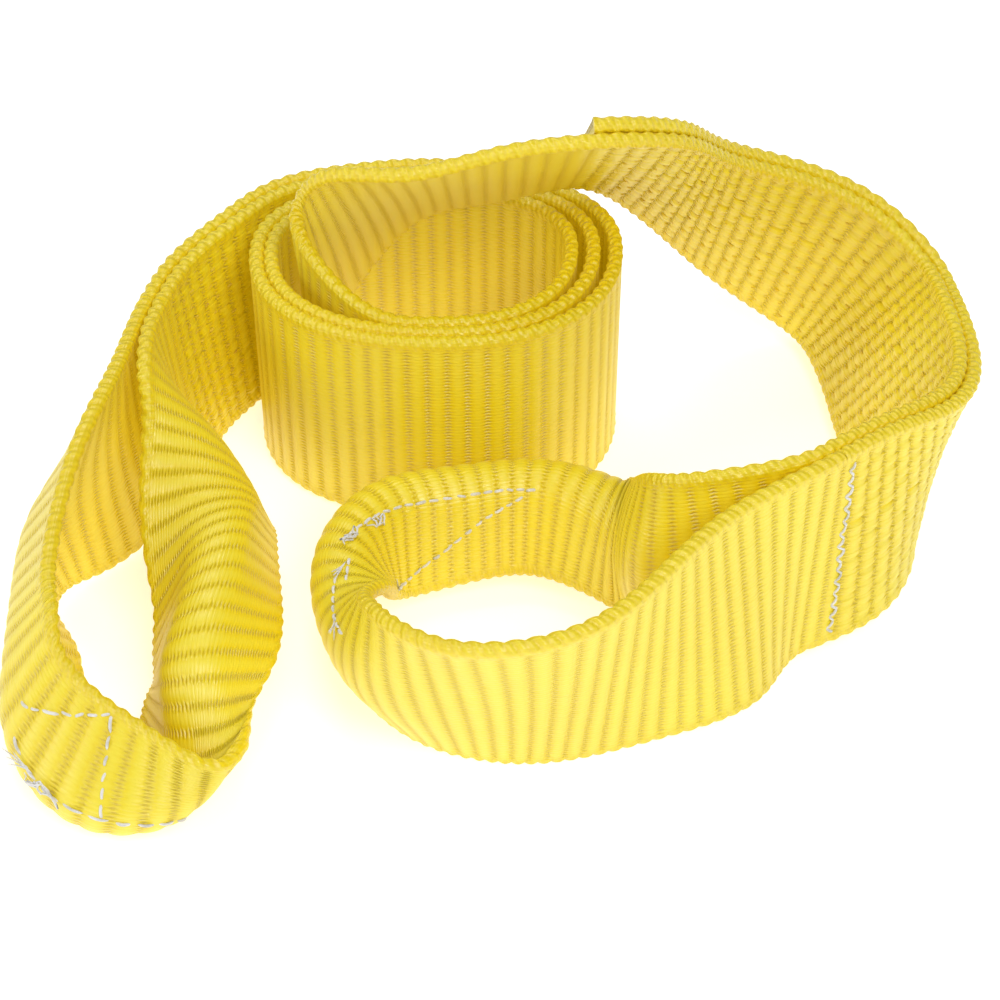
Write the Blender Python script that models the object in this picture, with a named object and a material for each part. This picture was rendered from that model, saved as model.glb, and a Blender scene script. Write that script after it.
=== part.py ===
"""Flat web sling with a sewn eye at each end, rolled up and standing on its edge.

One band of 75 mm webbing makes the whole sling. Each end turns back through half a twist, is folded
lengthwise at the tip of the eye, and is sewn flat on the outside of the band. Two and a half turns of
the band are rolled up; one end crosses over the roll and the other leaves behind it.

The band is described by stations. A station holds three points: the middle of the band and its two
edges, called the upper and the lower edge as they lie on the roll. Smooth lines through the stations
give the band's surface, and each solid is that surface made thick.
"""
import math

import bmesh
import bpy
import numpy as np
from mathutils import Matrix

# Driving dimensions, in metres
MM = 0.001
WIDTH = 0.075
THICKNESS = 0.0045
PLY_PITCH = THICKNESS + 0.0005
TOUCH_GAP = 0.0003
STEP = 0.0075
OPEN_BEND = 0.020
CLOSED_BEND = 0.007
HINGE_GAP = 0.0034
LEFT_LAP = 0.165
RIGHT_LAP = 0.283
LEAD = 0.020
THREAD_RADIUS = 0.0005
THREAD_CLEARANCE = 0.0008
THREAD_STEP = 0.006
LAP_ROWS = 7
LAP_ROW_CUT = 0.8
LAP_SEWING_INSET = 0.014
LEFT_SEWING_END = 0.048
SEAM_INSET = 0.006
SEAM_SWING = 0.004
SEAM_CUT = 0.84
SEAM_POINTS = 11
PROBE = 0.0005

# What puts the origin under the middle of the whole sling, in millimetres
CENTRING = (5, 6.7, 0)

# The roll, in millimetres: half its size towards each side, and what each turn takes off it
ROLL_CENTRE = (-28, 65)
ROLL_HALF = {"back": 43.6, "right": 60.7, "front": 52.6, "left": 62.2}
ROLL_PITCH = {"back": 5.2, "right": 7.3, "front": 5.1, "left": 4.7}
ROLL_POWER = 2.25
ROLL_END_TURNS = 2.55

# Stations in millimetres: middle, upper edge, lower edge
LEFT_ARM = [
    ((-113, 33, 38), (-116, 32, 75), (-109, 35, 1)),
    ((-106, 57, 38), (-109, 57, 75), (-102, 58, 1)),
    ((-92, 80, 38), (-94, 82, 75), (-90, 78, 1)),
    ((-80, 96, 38), (-81, 97, 75), (-79, 95, 1)),
    ((-57, 106, 38), (-57, 106, 75), (-57, 106, 1)),
    ((-36, 109, 38), (-36, 109, 75), (-36, 109, 1)),
]
RIGHT_ARM = [
    ((-65, 47, 45), (-64, 44, 82), (-66, 50, 8)),
    ((-70, 62, 58), (-72, 52, 94), (-69, 73, 23)),
    ((-59, 67, 78), (-65, 50, 111), (-56, 83, 46)),
    ((-34, 65, 95), (-36, 38, 120), (-33, 90, 69)),
    ((-7, 63, 102), (-7, 37, 129), (-7, 89, 77)),
    ((20, 65, 106), (23, 39, 132), (17, 91, 81)),
    ((45, 77, 92), (52, 56, 121), (38, 98, 66)),
    ((66, 93, 67), (70, 76, 101), (62, 110, 34)),
    ((91, 98, 50), (99, 87, 85), (84, 110, 15)),
    ((110, 94, 40), (121, 82, 74), (99, 105, 5)),
    ((119, 81, 36), (133, 68, 68), (104, 93, 4)),
    ((123, 58, 36), (137, 48, 69), (108, 69, 3)),
    ((125, 29, 37), (138, 18, 71), (112, 41, 3)),
    ((126, 5, 38), (131, -6, 74), (121, 14, 3)),
    ((110, -26, 39), (109, -23, 76), (111, -28, 3)),
    ((86, -43, 40), (87, -40, 77), (85, -46, 3)),
]
RIGHT_EYE = [
    ((57, -56, 40), (50, -50, 76), (63, -62, 4)),
    ((38, -57, 37), (42, -43, 71), (51, -50, 4)),
    ((31, -38, 37), (38, -24, 50), (38, -33, 3)),
    ((26, -17, 38), (30, -2, 18), (20, -24, 4)),
    ((10, -6, 37), (14, 6, 4), (7, -19, 4)),
    ((-18, -9, 38), (-24, 2, 4), (-17, -21, 4)),
    ((-43, -19, 40), (-55, -13, 6), (-41, -32, 6)),
    ((-56, -41, 41), (-59, -36, 6), (-42, -49, 23)),
    ((-57, -69, 37), (-48, -61, 4), (-41, -70, 45)),
    ((-45, -95, 36), (-32, -82, 4), (-40, -92, 66)),
    ((-17, -105, 37), (-13, -94, 3), (-22, -115, 72)),
    ((13, -103, 38), (11, -95, 3), (14, -112, 74)),
    ((41, -87, 39), (42, -86, 3), (40, -88, 76)),
    ((67, -67, 40), (71, -71, 3), (63, -63, 77)),
]
LEFT_EYE = [
    ((-111, 20, 39), (-118, 16, 76), (-106, 21, 3)),
    ((-102, 10, 42), (-119, 0, 73), (-97, 14, 6)),
    ((-94, -6, 44), (-119, -9, 60), (-89, 0, 9)),
    ((-91, -25, 44), (-117, -32, 36), (-85, -11, 11)),
    ((-92, -42, 43), (-110, -48, 14), (-82, -27, 10)),
    ((-94, -59, 41), (-108, -58, 7), (-79, -43, 11)),
    ((-97, -75, 38), (-106, -65, 5), (-77, -57, 12)),
    ((-98, -87, 33), (-106, -69, 5), (-78, -71, 15)),
    ((-96, -98, 24), (-108, -73, 6), (-83, -84, 16)),
    ((-94, -109, 15), (-110, -77, 7), (-83, -98, 19)),
    ((-96, -119, 10), (-113, -82, 8), (-90, -111, 24)),
    ((-105, -125, 9), (-116, -87, 8), (-102, -108, 28)),
    ((-120, -126, 9), (-119, -90, 8), (-111, -102, 32)),
    ((-135, -118, 9), (-122, -90, 8), (-119, -96, 36)),
    ((-145, -107, 12), (-125, -87, 8), (-125, -91, 41)),
    ((-150, -96, 17), (-127, -82, 8), (-128, -88, 48)),
    ((-151, -84, 24), (-129, -75, 7), (-129, -84, 55)),
    ((-151, -68, 31), (-134, -55, 5), (-131, -78, 62)),
    ((-152, -47, 35), (-145, -36, 3), (-132, -57, 66)),
    ((-149, -28, 37), (-143, -23, 3), (-130, -34, 69)),
    ((-137, -12, 38), (-133, -14, 2), (-127, -14, 73)),
    ((-126, 5, 38), (-120, 4, 2), (-124, 3, 75)),
]

# Tip stitching: millimetres along the eye's route, and the cut across the band
LEFT_TIP_ROWS = [
    (197, 0.12), (206, 0.14), (222, 0.16), (233, 0.26), (236, 0.44), (225, 0.68), (216, 0.84), (209, 0.72),
    (208, 0.30),
]
RIGHT_TIP_ROWS = [
    (272, 0.42), (259, 0.32), (242, 0.26), (225, 0.14), (188, 0.18), (145, 0.18), (167, 0.40), (183, 0.64),
    (200, 0.82), (214, 0.94),
]

MIDDLE = slice(0, 3)
UPPER = slice(3, 6)
LOWER = slice(6, 9)
EDGE_CUTS = (-1, 1)
FLAT_CUTS = (-1, 0, 1)
FOLD_CUTS = (-1, -0.72, -0.4, -0.22, -0.1, 0, 0.1, 0.22, 0.4, 0.72, 1)


def remove_scene_objects():
    for old in list(bpy.data.objects):
        bpy.data.objects.remove(old, do_unlink=True)


def stations_in_metres(rows):
    return (np.array(rows, dtype=float) + CENTRING).reshape(len(rows), 9) * MM


def roll_stations():
    """Stations of the rolled turns: a flattened spiral, clockwise from the middle of the back."""
    stations = []
    for turns in np.arange(0.03, ROLL_END_TURNS, 1 / 32):
        angle = 2 * math.pi * turns
        across = math.sin(angle)
        along = math.cos(angle)
        side = "right" if across > 0 else "left"
        end = "back" if along > 0 else "front"
        half_x = ROLL_HALF[side] - ROLL_PITCH[side] * turns
        half_y = ROLL_HALF[end] - ROLL_PITCH[end] * turns
        x = ROLL_CENTRE[0] + half_x * math.copysign(abs(across) ** (2 / ROLL_POWER), across)
        y = ROLL_CENTRE[1] + half_y * math.copysign(abs(along) ** (2 / ROLL_POWER), along)
        half = WIDTH / 2 / MM
        stations.append(((x, y, half), (x, y, 2 * half), (x, y, 0)))
    return stations


def natural_spline(knots, values, at):
    """Evaluate the natural cubic spline through values at the given knots."""
    count = len(knots)
    gap = np.diff(knots)
    slope = np.diff(values, axis=0) / gap[:, None]
    system = np.eye(count)
    right = np.zeros_like(values)
    for i in range(1, count - 1):
        system[i, i - 1:i + 2] = gap[i - 1], 2 * (gap[i - 1] + gap[i]), gap[i]
        right[i] = 6 * (slope[i] - slope[i - 1])
    bend = np.linalg.solve(system, right)
    span = np.clip(np.searchsorted(knots, at, side="right") - 1, 0, count - 2)
    width = gap[span][:, None]
    ahead = (at - knots[span])[:, None]
    back = width - ahead
    curve = (bend[span] * back ** 3 + bend[span + 1] * ahead ** 3) / (6 * width)
    curve += (values[span] / width - bend[span] * width / 6) * back
    curve += (values[span + 1] / width - bend[span + 1] * width / 6) * ahead
    return curve


class Route:
    """A run of the band through its stations, measured by the mean travel of its three lines."""

    def __init__(self, stations):
        self.stations = stations
        travel = np.linalg.norm(np.diff(stations, axis=0), axis=1) / math.sqrt(3)
        self.knots = np.concatenate([[0.0], np.cumsum(travel)])

    def at(self, distances):
        return natural_spline(self.knots, self.stations, np.asarray(distances, dtype=float))

    def steps(self, start, end):
        count = max(2, int(round((end - start) / STEP)) + 1)
        return np.linspace(start, end, count)


def unit(vectors):
    length = np.linalg.norm(vectors, axis=-1, keepdims=True)
    return vectors / np.maximum(length, 1e-9)


def band_surface(lines, cuts):
    """Points on the band's middle surface: one row for each station, one column for each cut.

    The band is straight from each edge to near the middle, and bends there through a round fold that
    is tight when the band is folded shut and wide when it is nearly flat.
    """
    middle = lines[:, MIDDLE]
    to_upper = lines[:, UPPER] - middle
    to_lower = lines[:, LOWER] - middle
    upper_length = np.linalg.norm(to_upper, axis=1)
    lower_length = np.linalg.norm(to_lower, axis=1)
    upper = unit(to_upper)
    lower = unit(to_lower)
    across = unit(upper - lower)
    inward = unit(upper + lower)
    turn = np.arccos(np.clip((upper * across).sum(axis=1), -1, 1))
    closed = turn / (math.pi / 2)
    bend = OPEN_BEND + (CLOSED_BEND - OPEN_BEND) * closed
    bend = np.minimum(bend, 0.8 * np.minimum(upper_length, lower_length))
    rate = np.maximum(turn / bend, 1e-4)
    columns = []
    for cut in cuts:
        length = abs(cut) * (upper_length if cut < 0 else lower_length)
        curved = np.minimum(length, bend)
        straight = length - curved
        sideways = np.sin(rate * curved) / rate + np.cos(turn) * straight
        rise = (1 - np.cos(rate * curved)) / rate + np.sin(turn) * straight
        sign = 1 if cut < 0 else -1
        columns.append(middle + across * (sign * sideways)[:, None] + inward * rise[:, None])
    return np.stack(columns, axis=1)


def surface_at(route, distances, cuts):
    """Points on the band's middle surface and the directions square to it."""
    points = band_surface(route.at(distances), cuts)
    ahead = band_surface(route.at(distances + PROBE), cuts)
    behind = band_surface(route.at(distances - PROBE), cuts)
    across = np.gradient(points, axis=1)
    return points, unit(np.cross(ahead - behind, across))


def make_material(name, colour, roughness):
    material = bpy.data.materials.new(name)
    material.use_nodes = True
    shader = material.node_tree.nodes["Principled BSDF"]
    shader.inputs["Base Color"].default_value = (*colour, 1)
    shader.inputs["Roughness"].default_value = roughness
    shader.inputs["Metallic"].default_value = 0
    return material


def add_object(name, mesh, material, parts):
    obj = bpy.data.objects.new(name, mesh)
    obj.data.materials.append(material)
    parts.objects.link(obj)
    return obj


def band_solid(name, points, normals, material, parts):
    """A closed solid: the surface made THICKNESS thick, with square edges and ends."""
    rows, columns = points.shape[:2]
    mesh_data = bmesh.new()
    faces_of = []
    for side in (THICKNESS / 2, -THICKNESS / 2):
        layer = points + normals * side
        faces_of.append([[mesh_data.verts.new(layer[i, j]) for j in range(columns)] for i in range(rows)])
    front, back = faces_of
    for i in range(rows - 1):
        for j in range(columns - 1):
            mesh_data.faces.new((front[i][j], front[i + 1][j], front[i + 1][j + 1], front[i][j + 1]))
            mesh_data.faces.new((back[i][j], back[i][j + 1], back[i + 1][j + 1], back[i + 1][j]))
        for j in (0, columns - 1):
            mesh_data.faces.new((front[i][j], back[i][j], back[i + 1][j], front[i + 1][j]))
    for i in (0, rows - 1):
        for j in range(columns - 1):
            mesh_data.faces.new((front[i][j], front[i][j + 1], back[i][j + 1], back[i][j]))
    bmesh.ops.recalc_face_normals(mesh_data, faces=mesh_data.faces)
    mesh = bpy.data.meshes.new(name)
    mesh_data.to_mesh(mesh)
    mesh_data.free()
    obj = add_object(name, mesh, material, parts)
    obj.data.shade_smooth()
    obj.data.set_sharp_from_angle(angle=math.radians(50))
    return obj


def band_piece(name, route, start, end, cuts, material, parts, offset=0.0):
    points, normals = surface_at(route, route.steps(start, end), cuts)
    return band_solid(name, points + normals * offset, normals, material, parts)


def thread(name, points, material, parts):
    """A sewing thread: one thin tube through the given points."""
    curve = bpy.data.curves.new(name, "CURVE")
    curve.dimensions = "3D"
    curve.bevel_depth = THREAD_RADIUS
    curve.bevel_resolution = 0
    curve.use_fill_caps = True
    spline = curve.splines.new("POLY")
    spline.points.add(len(points) - 1)
    for target, point in zip(spline.points, points):
        target.co = (*point, 1)
    return add_object(name, curve, material, parts)


def over_face(route, places, height):
    """Points over the band's face. Each place is a distance along the route and a cut across it."""
    points = []
    for distance, cut in places:
        near, normals = surface_at(route, np.array([distance]), (cut - 0.02, cut, cut + 0.02))
        points.append(near[0, 1] + normals[0, 1] * height)
    return points


def closer_places(places):
    """The same row with more places on it, so that a thread follows the curve of the face."""
    closer = []
    for (distance, cut), (next_distance, next_cut) in zip(places, places[1:]):
        length = math.hypot(next_distance - distance, (next_cut - cut) * WIDTH / 2)
        count = max(1, round(length / THREAD_STEP))
        for i in range(count):
            share = i / count
            closer.append((distance + (next_distance - distance) * share, cut + (next_cut - cut) * share))
    return closer + [places[-1]]


def lap_rows(start, end):
    """Sewing that runs to and fro along a lap in straight rows."""
    places = []
    for row, cut in enumerate(np.linspace(-LAP_ROW_CUT, LAP_ROW_CUT, LAP_ROWS)):
        ends = (start, end) if row % 2 == 0 else (end, start)
        places += [(distance, cut) for distance in ends]
    return closer_places(places)


def seam_zigzag(distance):
    """A zigzag seam from edge to edge of the band."""
    places = []
    for i, cut in enumerate(np.linspace(-SEAM_CUT, SEAM_CUT, SEAM_POINTS)):
        swing = SEAM_SWING / 2 if i % 2 else -SEAM_SWING / 2
        places.append((distance + swing, cut))
    return places


def tip_places(rows):
    return closer_places([(distance * MM, cut) for distance, cut in rows])


def eye_route(band, throat, inward, rows):
    """The eye's route: out along the band's end, round the eye and back onto the band's outside.

    inward is +1 or -1: the way along the band's route that leads from the throat into the band.
    """
    ends = np.array([throat, throat + inward * LEAD])
    sheet = band.at(ends)
    normals = surface_at(band, ends, FLAT_CUTS)[1]
    back = []
    for line, normal in zip(sheet, normals[:, 1]):
        middle, upper, lower = (line[part] + normal * PLY_PITCH for part in (MIDDLE, UPPER, LOWER))
        back.append(np.concatenate([middle, lower, upper]))
    return Route(np.vstack([sheet[1], sheet[0], stations_in_metres(rows), back[0], back[1]]))


def make_arms_and_roll(band, marks, webbing, parts):
    half_gap = TOUCH_GAP / 2
    left_end, roll_start, roll_end, right_end = marks
    band_piece("left_arm_webbing", band, left_end, roll_start - half_gap, FLAT_CUTS, webbing, parts)
    band_piece("rolled_webbing", band, roll_start + half_gap, roll_end - half_gap, EDGE_CUTS, webbing, parts)
    band_piece("right_arm_webbing", band, roll_end + half_gap, right_end, FLAT_CUTS, webbing, parts)
    for name, start, end in (
        ("left_lap_end", left_end, LEFT_LAP),
        ("right_lap_end", band.knots[-1] - RIGHT_LAP, right_end),
    ):
        band_piece(name, band, start, end, FLAT_CUTS, webbing, parts, offset=PLY_PITCH)


def make_lap_sewing(band, marks, white, yellow, parts):
    """A white seam across each throat, and yellow rows that hold each lap down."""
    left_end, right_end = marks[0], marks[-1]
    height = THICKNESS / 2 + THREAD_CLEARANCE + THREAD_RADIUS
    for side, distance, start, end in (
        ("left", left_end + SEAM_INSET, left_end + LAP_SEWING_INSET, LEFT_SEWING_END),
        ("right", right_end - SEAM_INSET, band.knots[-1] - RIGHT_LAP + LAP_SEWING_INSET,
         right_end - LAP_SEWING_INSET),
    ):
        seam = over_face(band, seam_zigzag(distance), PLY_PITCH + height)
        thread(side + "_throat_seam", seam, white, parts)
        thread(side + "_lap_stitching", over_face(band, lap_rows(start, end), -height), yellow, parts)


def make_eye(side, route, face, rows, webbing, white, parts):
    """An eye and its tip stitching, hung from an empty on the line that the eye swings about.

    face is +1 or -1: the side of the band that the stitching shows on.
    """
    swing = bpy.data.objects.new(side + "_eye_swing", None)
    throat = route.at([route.knots[1], route.knots[-2]])[:, MIDDLE].mean(axis=0)
    swing.location = (throat[0], throat[1], 0)
    parts.objects.link(swing)
    start = route.knots[1] + HINGE_GAP / 2
    end = route.knots[-2] - HINGE_GAP / 2
    height = face * (THICKNESS / 2 + THREAD_CLEARANCE + THREAD_RADIUS)
    stitches = over_face(route, tip_places(rows), height)
    for piece in (
        band_piece(side + "_eye_webbing", route, start, end, FOLD_CUTS, webbing, parts),
        thread(side + "_tip_stitching", stitches, white, parts),
    ):
        piece.parent = swing
        piece.matrix_parent_inverse = Matrix.Translation(-swing.location)


def build():
    remove_scene_objects()
    parts = bpy.data.collections.new("flat_web_sling")
    bpy.context.scene.collection.children.link(parts)
    webbing = make_material("yellow_webbing", (0.83, 0.62, 0.02), 0.6)
    white = make_material("white_thread", (0.80, 0.79, 0.74), 0.5)
    yellow = make_material("yellow_thread", (0.85, 0.66, 0.08), 0.5)

    band = Route(stations_in_metres(LEFT_ARM + roll_stations() + RIGHT_ARM))
    right_throat = band.knots[-1]
    marks = (
        HINGE_GAP / 2,
        band.knots[len(LEFT_ARM)],
        band.knots[-len(RIGHT_ARM) - 1],
        right_throat - HINGE_GAP / 2,
    )
    make_arms_and_roll(band, marks, webbing, parts)
    make_lap_sewing(band, marks, white, yellow, parts)
    left_eye = eye_route(band, 0, 1, LEFT_EYE)
    right_eye = eye_route(band, right_throat, -1, RIGHT_EYE)
    make_eye("left", left_eye, -1, LEFT_TIP_ROWS, webbing, white, parts)
    make_eye("right", right_eye, 1, RIGHT_TIP_ROWS, webbing, white, parts)


build()
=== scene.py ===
"""The flat web sling's looks: woven webbing, sewing, studio floor, light and camera.

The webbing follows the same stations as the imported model, with its ribs, selvedges and quilted laps as
real shape. Finer threads are in the material, which reads them from the weave attribute: the distance
along the webbing, the distance around its girth, and how far a point belongs to the selvedge.
"""
import math

import bpy
import numpy as np
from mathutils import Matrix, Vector


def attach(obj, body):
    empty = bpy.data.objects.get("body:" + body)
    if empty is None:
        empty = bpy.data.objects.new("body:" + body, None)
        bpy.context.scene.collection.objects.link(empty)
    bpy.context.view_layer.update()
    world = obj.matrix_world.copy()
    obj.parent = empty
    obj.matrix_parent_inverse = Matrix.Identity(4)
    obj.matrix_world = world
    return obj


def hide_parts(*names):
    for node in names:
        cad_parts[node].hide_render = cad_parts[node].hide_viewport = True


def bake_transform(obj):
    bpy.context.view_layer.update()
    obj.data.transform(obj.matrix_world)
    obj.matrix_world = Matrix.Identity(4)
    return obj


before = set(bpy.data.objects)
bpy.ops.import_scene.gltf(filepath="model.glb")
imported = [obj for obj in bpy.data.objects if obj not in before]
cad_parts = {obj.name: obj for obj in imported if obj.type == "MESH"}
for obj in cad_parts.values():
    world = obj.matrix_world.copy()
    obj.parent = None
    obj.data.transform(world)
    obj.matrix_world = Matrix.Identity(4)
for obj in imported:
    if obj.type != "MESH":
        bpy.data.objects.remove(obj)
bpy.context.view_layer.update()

MM = 0.001

# Moves the stations, in millimetres, so that the sling lies over the frame's origin
CENTRING = (5, 6.7, 0)

# The webbing's path, in metres
WIDTH = 0.075
THICKNESS = 0.0045
PLY_PITCH = THICKNESS + 0.0005
LEAD = 0.020
LEFT_LAP = 0.165
RIGHT_LAP = 0.283
PROBE = 0.0005

# The lengthwise fold: the length of webbing that bends on each side of the middle, in metres
OPEN_BEND = 0.020
CLOSED_BEND = 0.007
LONGEST_BEND = 0.8  # share of the shorter half of the band
LEAST_RATE = 1e-4  # radians for each metre: a flat band would divide by zero

# The webbing's faces, in metres: ribs across it, quilting on the laps and a roped selvedge on each edge
RIB = 0.0062
RIB_DEPTH = 0.0006
RIB_POWER = 0.7
FAR_FACE_SHIFT = 0.5  # in ribs: the crests of one face stand over the grooves of the other
CELL = 0.0048
QUILT_DEPTH = 0.0012
QUILT_POWER = 0.6
QUILT_FADE = 0.004
ROPE_PITCH = 0.0048
ROPE_BUMP = 0.0004
ROPE_RADIUS = 0.0023
ROPE_FROM = 0.86  # share of the half width where the face begins to turn into the selvedge
ROPE_FULL = 0.94  # share of the half width from which the material shows only selvedge

# The webbing's meshes. The arm's plies end JOIN short of the throat. The eye's band overlaps them there by
# BUTT, and bends within JOIN of the throat
ALONG_STEP = 0.0008
FACE_COLUMNS = 49
EDGE_COLUMNS = 8
JOIN = 0.004
BUTT = 0.0004
SHARP_ANGLE = 70

# The weave in the material. A pair named EDGE holds the values between which a feature comes or goes: for
# the grooves and crests in ribs from the nearest groove, for the others in what the feature is made from
WARP = 0.00125
TOOTH = 0.11  # depth of the grooves' zigzag, in ribs
GROOVE_PLACE = 0.42  # in ribs: puts the material's grooves in the mesh's
GROOVE_EDGE = (0.02, 0.11)
NEAR_GROOVE_EDGE = (0.04, 0.26)
# Painted highlight: the pale tint on the ribs' crests comes in between these shares of a rib
CREST_HIGHLIGHT_EDGE = (0.2, 0.45)
# Painted shade: the dark tint in the gaps between warp threads near the grooves
WARP_GAP_SHADE_EDGE = (0.2, 0.75)
# Painted shade: the dark tint in the gaps between the selvedge's strands
STRAND_GAP_SHADE_EDGE = (0.0, 0.5)
STRANDS = 2  # fine strands in each strand of the mesh's rope
STRAND_LEAN = 900  # radians for each metre around the selvedge
FIBRE_SCALE = (120, 2600)  # for each metre along and around
FIBRE_RANGE = (0.2, 0.8)
# Painted highlight: paler fibres at random places, standing for glints on the warp threads
FIBRE_GLINT_EDGE = (0.45, 0.75)
PATCH_SCALE = (30, 18)  # for each metre along and around
PATCH_SLICE = 3.0  # the height at which the patches' noise is cut
PATCH_EDGE = (0.35, 0.7)
WEBBING_ROUGHNESS = (0.30, 0.50)
WEBBING_BUMP = 0.0004
WARP_RIDGE = (0.8, 0.2)  # height of a warp thread: what a groove adds to it, and what it has anywhere
HEIGHTS = {"groove": -0.1, "strand": 0.8, "fibre": 0.3}  # of the other features
NOISE_ROUGHNESS = 0.55

# The webbing's colours, and how strongly each tint shows. The tints are painted highlights and painted
# shade
PATCH_COLOURS = ((0.82, 0.62, 0.001), (0.84, 0.67, 0.004))
PAINTED_LIGHT_TINTS = {
    # painted highlight: a pale tint on the ribs' crests
    "crest_highlight": (0.5, (0.88, 0.76, 0.05)),
    # painted highlight: paler fibres at random places, as glints on the warp threads
    "fibre_glint": (0.4, (0.86, 0.74, 0.03)),
    # painted shade: a darker tint in the grooves between ribs
    "groove": (0.3, (0.70, 0.45, 0.0)),
    # painted shade: a darker tint between the warp threads near the grooves
    "warp_gap_shade": (0.3, (0.66, 0.42, 0.0)),
    # painted shade: a darker tint between the selvedge's strands
    "strand_gap_shade": (0.3, (0.70, 0.46, 0.0)),
}
SHEEN = 0.12
SHEEN_ROUGHNESS = 0.35
SHEEN_COLOUR = (1.0, 0.95, 0.55, 1)

# Painted light: the webbing glows a faint yellow, which brightens its shaded parts. It stands for bright
# yellow dye, which seems to give back more light than falls on it
PAINTED_GLOW = 0.08
PAINTED_GLOW_COLOUR = (1.0, 0.74, 0.0, 1)

# Sewing threads: radius in metres, and shares of it
THREAD_RADIUS = 0.00048
FINE_THREAD = 0.7
FRAYED_THREAD = 0.45
TIP_THICKNESS = (0.85, 1.1)
SEAM_THICKNESS = (0.8, 1)
THREAD_TWIST = 2600.0
THREAD_SOILING = 220.0
SOILING_EDGE = (0.4, 0.75)
THREAD_ROUGHNESS = (0.4, 0.65)
THREAD_BUMP = 0.0003
THREAD_SHEEN = 0.3
WHITE_THREAD = ((0.86, 0.85, 0.84), (0.62, 0.60, 0.54))
YELLOW_THREAD = ((0.92, 0.68, 0.03), (0.70, 0.46, 0.01))
TUBE_SIDES = 7
TUBE_SIDEWAYS = (0.3, 0.2, 0.9)  # no thread starts out along this
TUBE_END = (0.12, 6)  # least share of the section at a tube's ends, and how sharply it rounds off

# Stitches, in metres, cuts across the band (1 is half its width) and thread radii
CUT_PROBE = 0.02
STITCH_POINTS = 7
STITCH_RISE = 1.5
STITCH_SINK = 0.9
TIP_PITCH = 0.0048
TIP_LENGTH = 0.0038
TIP_LEAN = 0.0004
TIP_LEAN_CUTS = 20  # for each metre of lean
SEAM_INSET = 0.0073
SEAM_REACH = 0.86
SEAM_POINTS = 29
SEAM_SWING = (0.0006, 0.0017)
SEAM_SEEDS = {"left": 5, "right": 6}
QUILT_REACH = 0.84
QUILT_STITCH = 0.0024
QUILT_LEAN = 0.01
QUILT_SINK = 0.0007
QUILT_SEED = 8
TIP_SEED = 11
LAP_INSET = 0.012
LEFT_SEWING_END = 0.048

# Loose thread, in metres and cuts
TANGLE_POINTS = 12  # in each loop
TANGLE_REACH = 0.0030
TANGLE_RUN = 0.006
TANGLE_SPREAD = 0.05
TANGLE_SWELL = (0.3, 1.0)
TANGLE_BEAT = 1.3
TANGLE_PHASE = (0, 3)
TANGLE_LIFT = 0.0012
TANGLE_CLEARANCE = 0.0004
FRAY_STRANDS = 4
FRAY_POINTS = 8
FRAY_REACH = (0.005, 0.010)
FRAY_LEAN = 0.08
FRAY_LIFT = (0.0008, 0.003)
FRAY_CLEARANCE = 0.0003

# The studio, in metres and watts. A light has a place, a size and a power
FLOOR_HALF = 6.0
FLOOR_HEIGHT = -0.0004
FLOOR_GREYS = ((0.90, 0.90, 0.90), (0.92, 0.92, 0.92))
FLOOR_GREY_SCALE = 3.0
FLOOR_ROUGHNESS = 0.9
FLOOR_GLOW = 0.55
WORLD_GLOW = 0.32
LIGHT_TARGET = (0, 0, 0.05)
LIGHTS = {
    "front": ((0.45, -0.9, 1.15), 0.7, 10),
    "left": ((-1.3, -0.35, 0.7), 0.6, 5),
    "top_back": ((-0.1, 0.7, 1.6), 0.9, 7),
}

# The camera: its place in millimetres before centring, and its tilt in degrees below level
CAMERA_PLACE = (-7, -555, 520)
CAMERA_TILT = 42
CAMERA_LENS = 83.4
CAMERA_SENSOR = 36
CAMERA_NEAR = 0.01

# The roll, in millimetres: half its size towards each side, and what each turn takes off it
ROLL_CENTRE = (-28, 65)
ROLL_HALF = {"back": 43.6, "right": 60.7, "front": 52.6, "left": 62.2}
ROLL_PITCH = {"back": 5.2, "right": 7.3, "front": 5.1, "left": 4.7}
ROLL_POWER = 2.25  # 2 would make it an ellipse, and more makes it squarer
ROLL_START_TURNS = 0.03
ROLL_END_TURNS = 2.55
ROLL_STATIONS = 32  # in each turn

# Stations in millimetres: middle, upper edge, lower edge. An eye turns the band over, so the edge that is
# the upper one at its first station is the lower one at its last
LEFT_ARM = [
    ((-113, 33, 38), (-116, 32, 75), (-109, 35, 1)),
    ((-106, 57, 38), (-109, 57, 75), (-102, 58, 1)),
    ((-92, 80, 38), (-94, 82, 75), (-90, 78, 1)),
    ((-80, 96, 38), (-81, 97, 75), (-79, 95, 1)),
    ((-57, 106, 38), (-57, 106, 75), (-57, 106, 1)),
    ((-36, 109, 38), (-36, 109, 75), (-36, 109, 1)),
]
RIGHT_ARM = [
    ((-65, 47, 45), (-64, 44, 82), (-66, 50, 8)),
    ((-70, 62, 58), (-72, 52, 94), (-69, 73, 23)),
    ((-59, 67, 78), (-65, 50, 111), (-56, 83, 46)),
    ((-34, 65, 95), (-36, 38, 120), (-33, 90, 69)),
    ((-7, 63, 102), (-7, 37, 129), (-7, 89, 77)),
    ((20, 65, 106), (23, 39, 132), (17, 91, 81)),
    ((45, 77, 92), (52, 56, 121), (38, 98, 66)),
    ((66, 93, 67), (70, 76, 101), (62, 110, 34)),
    ((91, 98, 50), (99, 87, 85), (84, 110, 15)),
    ((110, 94, 40), (121, 82, 74), (99, 105, 5)),
    ((119, 81, 36), (133, 68, 68), (104, 93, 4)),
    ((123, 58, 36), (137, 48, 69), (108, 69, 3)),
    ((125, 29, 37), (138, 18, 71), (112, 41, 3)),
    ((126, 5, 38), (131, -6, 74), (121, 14, 3)),
    ((110, -26, 39), (109, -23, 76), (111, -28, 3)),
    ((86, -43, 40), (87, -40, 77), (85, -46, 3)),
]
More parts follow.
